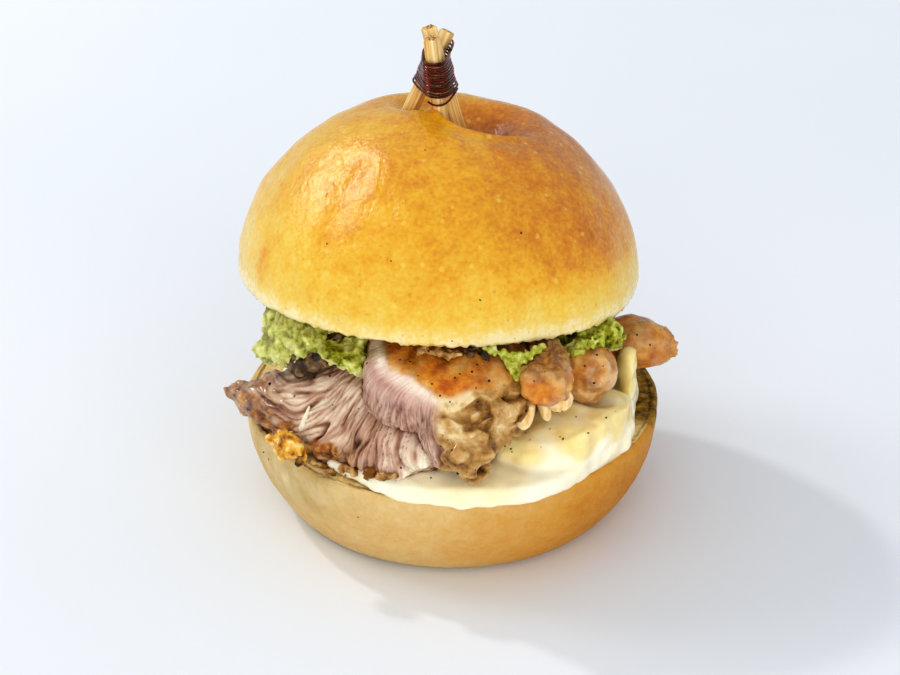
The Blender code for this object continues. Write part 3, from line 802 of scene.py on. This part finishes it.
def dress_pork_left(finish):
    """The slice whose cut face shows its fibres, with a scorched point and foot."""
    mesh, points, normals = dressed_mesh("pork_left", 0.36, 2)
    across, up, normal = slice_axes()
    u, v, _ = in_slice(points)
    points += np.outer(ramp(-u, 17, 30) * 3.8, -across)
    on_face = ramp(normals @ normal, 0.1, 0.6)
    lift, crease, gap = fibre_relief(points)
    calm = ramp(-u, 29, 14) * 0.8 + 0.2
    ragged = 0.6 * rough_noise(points, 2.2, 24) * (1 - 0.8 * on_face) + 0.3 * noise(points, 7.0, 25)
    step = 1.3 * ramp(u, 3, 9) * on_face
    edge_wear = 1.1 * noise(points, 2.0, 16) * ramp(-u, 12, 20) * (1 - on_face)
    set_points(mesh, points + normals * ((lift * on_face + ragged) * calm + step + edge_wear)[:, None])
    blotch = noise(points, 3.0, 27)
    # Painted shade: the tone darkens in the creases and gaps between the fibre bundles.
    tone = 0.72 + 0.14 * noise(points, 6.0, 26) + 0.1 * blotch - (0.5 * crease + 0.26 * gap) * on_face * calm
    corner = ramp(u + 2 * blotch, 13, 20) * ramp(-v, -3, 4)
    # Painted light and shade: lighter low on the face, darker towards the top and right under the
    # overhanging mash. The face is also a little darker towards its left end.
    tone += 0.08 * ramp(-v, -4, 6) - 0.12 * ramp(v, 3, 9) - 0.26 * ramp(u, 0, 12) - 0.1 * ramp(-u, 8, 16)
    tone += 0.44 * corner
    foot = ramp(-v + 2.6 * blotch, 5.0, 8.0) * ramp(-u, -12, -2)
    point = ramp(-u + 4 * blotch, 10, 24)
    edge = (1 - on_face) * 0.8
    roast = np.maximum(np.maximum(0.75 * point, foot), edge) * (0.9 + 0.5 * noise(points, 1.4, 28))
    glaze = 0.85 * ramp(-u, 25, 31) + 0.4 * foot * ramp(noise(points, 2.4, 29), 0.1, 0.4)
    pale = 0.4 * ramp(u, 10, 20) * ramp(-v, -12, 0) * (1 - corner)
    mark_meat(mesh, points, strand=tone, lean=np.ones(len(u)), roast=roast, glaze=glaze, pale=pale)
    new_piece("pork_left_cut", mesh, finish, "pork_left", "pork_left")


def dress_pork_centre(finish):
    """The thick piece: a glazed top in front, a pale cut at its left, and soft lumps hanging under it."""
    hanging = [(26, 1.8, 3.2, lambda p: p.y < -27 and p.z < 40 and p.x > -3)]
    mesh, points, normals = dressed_mesh("pork_centre", 0.4, 7, hanging, 30)
    x, y, z = points.T
    blotch = noise(points, 4.0, 34)
    glaze_foot = 46.6 + 0.33 * np.maximum(-x - 3, 0) + 0.1 * np.maximum(x - 3, 0) + 0.8 * blotch
    upper = ramp(z - glaze_foot, -0.6, 0.9) * ramp(normals[:, 2] * 0.6 - normals[:, 1], 0.1, 0.5)
    left_cut = ramp(-x + 0.9 * blotch, 1.6, 4.6) * ramp(-y, 14, 22)
    lift, crease, gap = fibre_relief(points)
    soft = (1 - upper) * (1 - left_cut)
    wrinkle = ramp(-noise(points * (1, 1, 1.6), 4.6, 33), 0.12, 0.5)
    low_cut = left_cut * (1 - upper) * ramp(-z, -46, -40)
    shift = 0.3 * noise(points, 6.0, 31) + (0.3 * left_cut * (1 - upper) + 0.6 * low_cut) * lift
    folds = noise(points * (1, 1, 2.2), 3.4, 35)
    shift += soft * (0.5 * folds + 0.22 * noise(points, 1.6, 32) - 1.7 * wrinkle)
    shift -= 2.6 * spot(points, (11.4, -41.0, 45.8), (3.0, 5, 1.4))
    shift -= 2.2 * spot(points, (8.0, -46, 38.8), (2.8, 5, 1.3))
    set_points(mesh, points + normals * shift[:, None])
    band = ramp(z - glaze_foot, -2.8, -1.4) * (1 - upper) * ramp(-x, -8, -2)
    # Painted shade: the tone darkens in the creases and gaps between the fibres, most on the low cut.
    tone = 0.52 + 0.14 * blotch - (0.2 + 0.3 * low_cut) * crease - (0.08 + 0.16 * low_cut) * gap
    # Painted light and shade: the fat is lighter on the folds and darker in the wrinkles pushed into the
    # skin. It is also darker towards the bottom.
    height = 0.36 + 0.16 * folds - 0.22 * wrinkle + 0.16 * band - 0.15 * ramp(-z, -40, -36)
    height -= 0.14 * upper * ramp(x, 2, 10)
    lean = left_cut * (1 - upper)
    tone += 0.34 * ramp(z - glaze_foot, -2.8, -0.8)
    # Darker towards the crown's rim: partly roast, partly painted shade under the rim.
    dark = 0.7 * ramp(z + 1.5 * blotch, 48.2, 51.2) * upper
    glaze = upper * (1 - 0.5 * ramp(x + 3 * blotch, 1, 12)) - dark
    pale = 0.7 * lean - 0.4 * low_cut
    marks = {"strand": tone, "lean": lean, "pale": pale, "glaze": glaze, "roast": dark * 1.6}
    mark_meat(mesh, points, height=height, **marks)
    new_piece("pork_centre_roast", mesh, finish, "pork_centre", "pork_centre")


def untouched(points):
    return points


def nowhere(_):
    return 0.0


def ragged_right(_):
    return 0.45


def pressed_right(points):
    """The right piece, squeezed narrower at its right and shallower at its foot."""
    x, y, z = points.T
    return np.stack([x - 0.5 * np.maximum(x - 19, 0), y, z - 0.42 * np.minimum(z - 45, 0)], axis=1)


def pressed_nugget(points):
    """The nugget, set further to the left and a little higher."""
    return points + (-3.0, 0.0, 1.2)


def pressed_knuckle(points):
    """The end of meat at the right, flattened at its foot."""
    x, y, z = points.T
    return np.stack([x, y, z - 0.3 * np.minimum(z - 34, 0)], axis=1)


def ragged_knuckle(points):
    return ramp(points[:, 0], 43, 46)


def scorched_top(points):
    return 0.85 * ramp(points[:, 2], 47, 50.5)


def scorched_foot(points):
    return 0.55 * ramp(-points[:, 2], -40, -34)


def scorched_knuckle(points):
    return 0.4 + 0.3 * ramp(-points[:, 0], -38, -29)


def dress_knob(node, finish, glaze, size, depth, seed, pressed=untouched, ragged=nowhere, scorched=nowhere):
    """A browned knob of meat: how glazed it is, the size and depth of its lumps and their random seed, and
    where it is pressed into shape, ragged or scorched."""
    mesh, points, normals = dressed_mesh(node, 0.38, 3)
    points = pressed(points)
    lumps = rough_noise(points, size, seed, 2)
    shift = depth * lumps + 1.1 * rough_noise(points, 1.9, seed + 1) * ragged(points)
    set_points(mesh, points + normals * shift[:, None])
    scorch = scorched(points)
    brown = (glaze + 0.3 * noise(points, 5.0, seed + 7)) * (1 - scorch)
    roast = np.maximum(0.6 * ramp(noise(points, 3.2, seed + 8), 0.3, 0.7), scorch)
    # Painted shade: the fat is darker in the hollows between the lumps.
    mark_meat(mesh, points, glaze=brown, roast=roast, height=0.4 + 0.25 * lumps)
    new_piece(node + "_roast", mesh, finish, node, node)


# The soft fillings


def dress_mash(finish):
    """Coarse mash: crumbs piled on crumbs, slumped over the meat."""
    crumbs = [(1500, 0.5, 1.0, None), (200, 1.2, 2.2, lambda p: p.y < 0)]
    mesh, points, normals = dressed_mesh("green_mash", 0.36, 1, crumbs, 40)
    x, y, z = points.T
    points[:, 0] += 4.6 * ramp(-x, 28, 41) * ramp(z, 37, 44)
    clumps = noise(points, 3.4, 44)
    billow = np.abs(noise(points, 2.6, 41)) + 0.5 * np.abs(noise(points, 1.2, 42))
    set_points(mesh, points + normals * (0.7 * billow + 0.35 * clumps - 0.4)[:, None])
    # Painted light and shade: the crumbs are paler on the bulges, darker in the gaps between them, and
    # darker towards the right.
    mark_share(mesh, "height", 0.3 + 0.6 * billow + 0.35 * clumps - 0.14 * ramp(x, 12, 24))
    # Painted light: the left heap is paler. Faces turned downwards are paler too.
    mark_share(mesh, "pale", np.maximum(ramp(-normals[:, 2], 0.2, 0.7), 0.4 * ramp(-x, 24, 34)))
    new_piece("green_mash_crumbs", mesh, finish, "green_mash", "green_mash")


def dress_cream():
    """Spread cream, lumpy where it was pushed up and slumping over the rim in front."""
    mesh, points, normals = dressed_mesh("cream", 0.45, 12)
    x, y, z = points.T
    reach = np.hypot(x, y)
    limit = 39.4 + 3.6 * ramp(-y, 10, 26) + 0.4 * noise(points, 4.0, 55)
    points[:, 2] += ramp(x, -12, 1) * (0.85 - 0.3 * ramp(x, 12, 24)) * np.maximum(21.6 - z, 0)
    pull = np.minimum(limit / np.maximum(reach, 1.0), 1.0)
    points[:, :2] *= (1 + (pull - 1) * ramp(x, 16, 34))[:, None]
    points[:, 1] -= 0.4 * np.minimum(points[:, 1] + 45, 0)
    shift = 0.5 * noise(points, 8.0, 51) + 0.3 * noise(points, 3.6, 52) + 0.2
    set_points(mesh, points + normals * shift[:, None])
    oil = ramp(noise(points, 6.0, 53) + 0.04 * (z - 27), -0.5, 0.4) * ramp(x, 2, 10) * ramp(z, 25.0, 28)
    around = 0.35 * spot(points, (4, -46, 26), (9, 5, 5))
    mark_share(mesh, "oil", np.maximum(0.8 * oil, around))
    new_piece("cream_spread", mesh, spread_cream(), "cream", "cream")


def dress_small_pieces(onion):
    mushroom = cooked_mushroom()
    for node, moved in MUSHROOMS_MOVED.items():
        mesh, points, _ = dressed_mesh(node, 0.22, 4)
        set_points(mesh, points + moved)
        new_piece(node + "_flesh", mesh, mushroom, node, node)
    for node, finish, count, seed in (("cooked_onion", onion, 40, 61), ("crackling", fried_fat(), 12, 64)):
        mesh, points, normals = dressed_mesh(node, 0.25, 2, [(count, 0.6, 1.4, None)], seed)
        set_points(mesh, points + normals * (0.4 * rough_noise(points, 2.0, seed))[:, None])
        new_piece(node + "_fried", mesh, finish, node, node)


# Bits lying on the fillings, each put where the picture shows it and set on what is there


def seen_at(carriers, x, y):
    """The place on the pieces that a point of the picture shows, and the way the surface faces there."""
    graph = bpy.context.evaluated_depsgraph_get()
    camera = bpy.context.scene.camera
    share = CAMERA_SENSOR / CAMERA_LENS / PICTURE_SIZE[0]
    aim = Vector(((x - PICTURE_SIZE[0] / 2) * share, (PICTURE_SIZE[1] / 2 - y) * share, -1.0))
    start = camera.matrix_world.translation
    way = (camera.matrix_world.to_3x3() @ aim).normalized()
    best = None
    for piece in carriers:
        hit, place, facing, _ = piece.ray_cast(start, way, depsgraph=graph)
        away = (place - start).length
        if hit and (best is None or away < best[0]):
            best = (away, place / MM, facing)
    return best[1], best[2]


def strewn(name, grounds, finish, slot, seed, sizes, spread=0.0, count=1, depth=0.0, pitch=0.0, height=0.5):
    """Small bits around places in the picture, sunk a little into what they lie on."""
    chance = np.random.default_rng(seed)
    corners, faces = ball()
    parts = []
    for ground, facing in grounds:
        side = facing.orthogonal().normalized()
        for _ in range(count):
            size = chance.uniform(*sizes)
            turn = chance.uniform(0, 2 * math.pi)
            away = spread * math.sqrt(chance.uniform(0, 1))
            aside = Matrix.Rotation(turn, 3, facing) @ side * away
            middle = ground + aside + facing * (size * 0.3 + chance.uniform(0, depth))
            stretch = Matrix.Diagonal(Vector([chance.uniform(0.5, 1.3) for _ in range(3)]))
            shape = np.array(Matrix.Rotation(turn, 3, facing) @ stretch) * size
            parts.append((corners @ shape.T + np.array(middle), faces))
    mesh = merged(parts)
    if pitch:
        mesh = even_mesh(mesh, pitch, 1)
        points = points_of(mesh)
        set_points(mesh, points + normals_of(mesh) * (0.3 * noise(points, 1.2, seed))[:, None])
    points = points_of(mesh)
    mark_meat(mesh, points, height=height + 0.25 * noise(points, 1.5, seed))
    new_piece(name, mesh, finish, slot)


def thread(name, ends, thickness, sag, finish, slot):
    """A tapered strand between two places in the picture, lifted off what is under its middle."""
    (first, up_first), (last, _) = ends
    rows = 14
    steps = 8
    mesh = turned_mesh([(0.0, 0.0), *[(1.0, i / rows) for i in range(1, rows)], (0.0, 1.0)], steps)
    points = points_of(mesh)
    along = points[:, 2]
    axis = last - first
    side = axis.orthogonal().normalized()
    other = axis.cross(side).normalized()
    width = thickness * np.sin(np.pi * np.clip(along, 0.02, 0.98)) ** 0.6
    middle = np.array(first) + np.outer(along, np.array(axis))
    middle += np.outer(sag * np.sin(np.pi * along), np.array(up_first))
    shape = middle + np.outer(points[:, 0] * width, np.array(side))
    shape += np.outer(points[:, 1] * width, np.array(other))
    set_points(mesh, shape + 0.1 * np.stack([noise(shape, 1.5, seed) for seed in (91, 92, 93)], axis=1))
    mark_meat(mesh, shape, strand=0.95, lean=1.0)
    new_piece(name, mesh, finish, slot)


PEPPER_ON_CREAM = (
    (562, 411), (526, 433), (530, 440), (560, 437), (563, 439), (550, 429), (606, 418), (576, 417),
    (526, 411), (541, 447), (588, 433), (512, 452), (505, 446), (431, 478),
)
PEPPER_ON_MEAT = (
    (458, 473), (467, 472), (475, 470), (477, 474), (455, 465), (443, 435), (448, 440), (441, 446),
    (452, 450), (418, 376), (455, 378), (460, 374), (472, 372), (440, 396), (450, 402), (410, 362),
    (400, 360), (432, 384), (328, 390), (330, 376), (270, 384), (333, 405), (597, 355), (594, 383),
    (585, 366), (603, 366), (660, 330), (650, 345), (637, 335), (545, 372), (534, 381), (489, 381),
    (476, 388),
)
SPECKS_ON_CRUST = (
    (327, 244), (391, 261), (521, 233), (425, 150), (264, 452), (633, 444), (480, 300), (452, 341),
)
GREEN_SHREDS = (
    (487, 352), (493, 353), (499, 356), (504, 361), (509, 366), (513, 371), (515, 376), (517, 369),
    (521, 363), (526, 358), (531, 355), (536, 353), (541, 351), (529, 363), (511, 360), (571, 350),
    (578, 347), (574, 356), (580, 352), (586, 345), (592, 341),
)
BEIGE_CRUMBS = ((428, 351), (434, 353), (440, 354), (446, 356), (452, 354), (421, 350), (458, 357))
JUICE_DROP = ((370, 471), (370, 474))
FAT_THREAD = ((299, 432), (311, 403))
ONION_SLIVER = ((468, 353), (473, 354), (478, 355), (483, 356), (488, 358))
CRUMBLED = {"sizes": (0.5, 1.1), "spread": 1.2, "count": 4, "depth": 0.7, "pitch": 0.26}
SHREDDED = CRUMBLED | {"count": 5}
SLIVERED = CRUMBLED | {"sizes": (0.8, 1.2), "count": 2}
SLICE_CRUMBS = (
    (313, 464), (322, 467), (334, 470), (345, 472), (300, 458), (392, 472), (383, 474), (352, 471),
)


def dress_bits(pork, greens, onion):
    bpy.context.view_layer.update()
    carriers = []
    for piece in bpy.context.scene.objects:
        if piece.type == "MESH" and not piece.hide_render and piece.name != "studio_board":
            carriers.append(piece)
    pepper = ground_pepper()
    rows = (
        ("pepper_on_cream", PEPPER_ON_CREAM, pepper, "cream", {"sizes": (0.12, 0.26), "seed": 81}),
        ("pepper_on_meat", PEPPER_ON_MEAT, pepper, "pork_centre", {"sizes": (0.12, 0.3), "seed": 82}),
        ("specks_on_crust", SPECKS_ON_CRUST, pepper, "bun_crown", {"sizes": (0.14, 0.24), "seed": 83}),
        ("green_shreds", GREEN_SHREDS, greens, "green_mash", SHREDDED | {"seed": 84, "height": 0.62}),
        ("fat_crumbs", BEIGE_CRUMBS, pork, "pork_centre", CRUMBLED | {"seed": 85, "height": 0.3}),
        ("slice_crumbs", SLICE_CRUMBS, pork, "pork_left", CRUMBLED | {"seed": 87, "height": 0.16}),
        ("onion_sliver", ONION_SLIVER, onion, "cooked_onion", SLIVERED | {"seed": 90}),
        ("juice_drop", JUICE_DROP, meat_juice(), "pork_left", {"sizes": (1.2, 1.5), "seed": 89}),
    )
    seen = [[seen_at(carriers, x, y) for x, y in row[1]] for row in rows]
    ends = [seen_at(carriers, x, y) for x, y in FAT_THREAD]
    for (name, _, finish, slot, settings), grounds in zip(rows, seen):
        strewn(name, grounds, finish, slot, **settings)
    thread("fat_thread", ends, 0.55, 1.4, pork, "pork_left")


# The picks and their wire


def dress_picks():
    for name, line in PICK_LINES.items():
        node = frame["nodes"][name]
        node.data.materials.clear()
        node.data.materials.append(split_bamboo(line))


def wire_point(turns):
    """A point on the winding, a number of turns from its top: pulled tight around the picks, each turn a
    little slack or crooked."""
    height = WIRE_HIGH - (WIRE_HIGH - WIRE_LOW) * turns / WIRE_TURNS
    middles = []
    for foot, top in PICK_LINES.values():
        middles.append(Vector(foot).lerp(Vector(top), (height - foot[2]) / (top[2] - foot[2])))
    centre = sum(middles, Vector()) / len(middles)
    turn = 2 * math.pi * turns
    reach = math.inf
    for i in range(-17, 18):
        aside = math.radians(5 * i)
        away = Vector((math.cos(turn + aside), math.sin(turn + aside), 0.0))
        support = max((middle - centre).dot(away) for middle in middles) + WIRE_STANDOFF
        reach = min(reach, support / math.cos(aside))
    slack = 0.16 + 0.16 * math.sin(2.3 * turns + 0.4) * math.sin(turn * 0.5 + 1.0)
    crooked = 0.1 * math.sin(turn + 1.9 * turns)
    away = Vector((math.cos(turn), math.sin(turn), 0.0))
    return centre + away * (reach + slack) + Vector((0.0, 0.0, crooked))


def dress_wire():
    """The binding wire as a round tube."""
    points = [wire_point(i / WIRE_STEPS) for i in range(WIRE_STEPS * WIRE_TURNS + 1)]
    points += [Vector(point) for point in WIRE_HOOK]
    path = bpy.data.curves.new("wire", "CURVE")
    path.dimensions = "3D"
    path.bevel_depth = WIRE_DIAMETER / 2 * MM
    path.bevel_resolution = 3
    path.use_fill_caps = True
    spline = path.splines.new("NURBS")
    spline.points.add(len(points) - 1)
    spline.order_u = 4
    spline.use_endpoint_u = True
    spline.resolution_u = 3
    for target, point in zip(spline.points, points):
        target.co = (*(point * MM), 1.0)
    mesh = evaluated(placed("wire", path))
    new_piece("wire_winding", mesh, enamelled_wire(), "wire_binding", "wire_binding")


# The studio


def new_lamp(name, shape, width, height, direction, distance, watts, colour, shows):
    light = bpy.data.lights.new(name, "AREA")
    light.shape = shape
    light.size = width * MM
    if shape != "DISK":
        light.size_y = height * MM
    light.energy = watts
    light.color = colour
    lamp = placed(name, light)
    away = Vector(direction).normalized()
    lamp.location = (away * distance + LAMP_AIM) * MM
    lamp.rotation_euler = away.to_track_quat("Z", "Y").to_euler()
    lamp.visible_camera = False
    lamp.visible_glossy = shows


def set_studio():
    bpy.ops.mesh.primitive_plane_add(size=BOARD_SIZE * MM)
    floor = bpy.context.object
    floor.name = "studio_board"
    floor.data.materials.append(studio_board())

    world = bpy.data.worlds.new("studio")
    world.use_nodes = True
    sky = world.node_tree.nodes["Background"].inputs
    sky["Color"].default_value = linear(WORLD_COLOUR)
    sky["Strength"].default_value = WORLD_STRENGTH
    bpy.context.scene.world = world
    for name, settings in LAMPS.items():
        new_lamp(name, *settings)


def set_camera():
    lens = bpy.data.cameras.new("camera")
    lens.lens = CAMERA_LENS
    lens.sensor_width = CAMERA_SENSOR
    lens.clip_end = CAMERA_FAR * MM
    camera = placed("camera", lens)
    turn = math.radians(CAMERA_ELEVATION)
    away = Vector((0.0, -math.cos(turn), math.sin(turn)))
    camera.location = (Vector(CAMERA_TARGET) + away * CAMERA_DISTANCE) * MM
    camera.rotation_euler = away.to_track_quat("Z", "Y").to_euler()
    bpy.context.scene.camera = camera


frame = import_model()
bpy.context.scene.view_settings.view_transform = "Standard"
bpy.context.scene.view_settings.look = VIEW_LOOK

set_camera()
set_studio()
pork = roast_pork()
greens = crushed_greens()
onion = fried_onion()
dress_crown()
dress_base()
dress_pork_left(pork)
dress_pork_centre(pork)
dress_knob("pork_right", pork, 0.72, 4.2, 1.2, 71, pressed_right, ragged_right, scorched_top)
dress_knob("pork_nugget", pork, 0.5, 5.0, 1.0, 72, pressed_nugget, scorched=scorched_foot)
dress_knob("pork_knuckle", pork, 0.8, 7.0, 0.3, 73, pressed_knuckle, ragged_knuckle, scorched_knuckle)
dress_knob("pork_back", pork, 0.5, 5.0, 0.8, 74)
dress_mash(greens)
dress_cream()
dress_small_pieces(onion)
dress_picks()
dress_wire()
dress_bits(pork, greens, onion)
